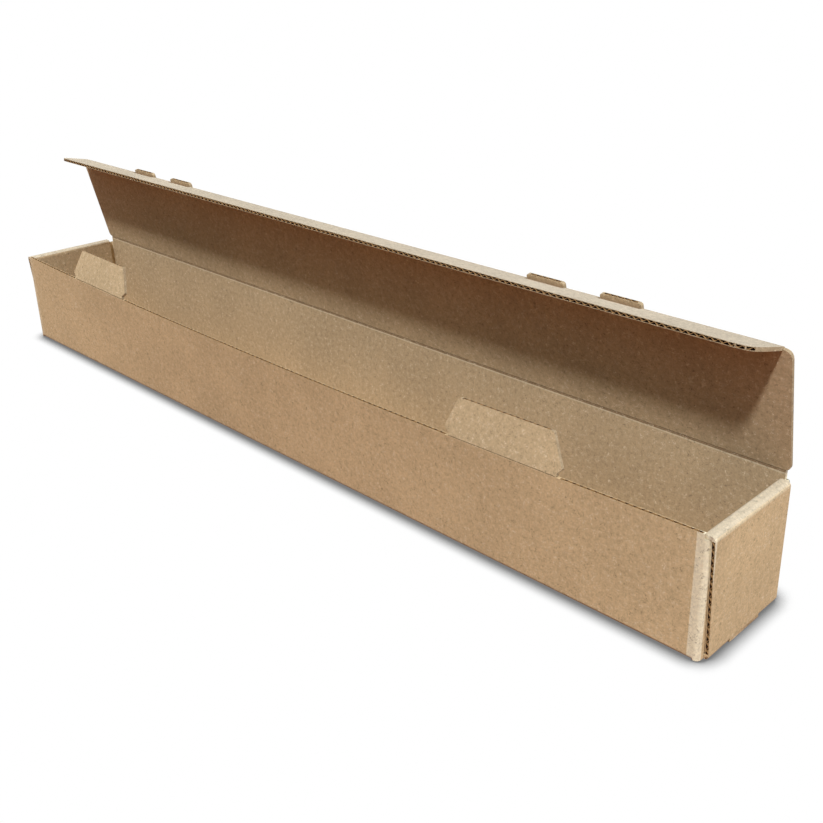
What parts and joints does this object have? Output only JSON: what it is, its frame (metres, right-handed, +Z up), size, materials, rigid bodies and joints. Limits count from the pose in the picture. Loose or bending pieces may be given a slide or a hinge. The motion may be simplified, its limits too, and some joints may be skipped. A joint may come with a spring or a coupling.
{
  "type": "long shipping box",
  "caption": "Long low corrugated box: folded tray with double end walls, hinged lid with a tuck flap, and tongues on the front wall that lock it.",
  "frame": {"origin": "middle of the tray's underside, on the surface the box stands on", "axes": "+X along the box, to the right seen from the front; -Y towards the front wall with the tongues; +Z up"},
  "size_m": [0.926, 0.1215, 0.2096],
  "materials": {
    "tray_board": "matt brown kraft liner on corrugated board",
    "lid_board": "matt brown kraft liner on corrugated board",
    "flap_board": "matt brown kraft liner on corrugated board",
    "tongue_board": "matt brown kraft liner on corrugated board"
  },
  "bodies": {
    "tray": {"tray": "tray_board"},
    "lid": {"lid_panel": "lid_board"},
    "flap": {"tuck_flap": "flap_board"},
    "left_tongue": {"locking_tongue_left": "tongue_board"},
    "right_tongue": {"locking_tongue_right": "tongue_board"}
  },
  "joints": [
    {"name": "lid_hinge", "type": "hinge", "parent": "tray", "child": "lid", "pos_m": [0, 0.0535, 0.1018], "axis": [-1, 0, 0], "range_deg": [-47, 102]},
    {"name": "tuck_flap_fold", "type": "hinge", "parent": "lid", "child": "flap", "pos_m": [0, 0.03263, 0.20001], "axis": [1, 0, 0], "range_deg": [-65, 35]},
    {"name": "left_tongue_fold", "type": "hinge", "parent": "tray", "child": "left_tongue", "pos_m": [-0.287, -0.05878, 0.09955], "axis": [-0.9995, 0.0318, 0], "range_deg": [-18, 155]},
    {"name": "right_tongue_fold", "type": "hinge", "parent": "tray", "child": "right_tongue", "pos_m": [0.287, -0.05878, 0.09955], "axis": [-0.9995, -0.0318, 0], "range_deg": [-10, 163]}
  ]
}
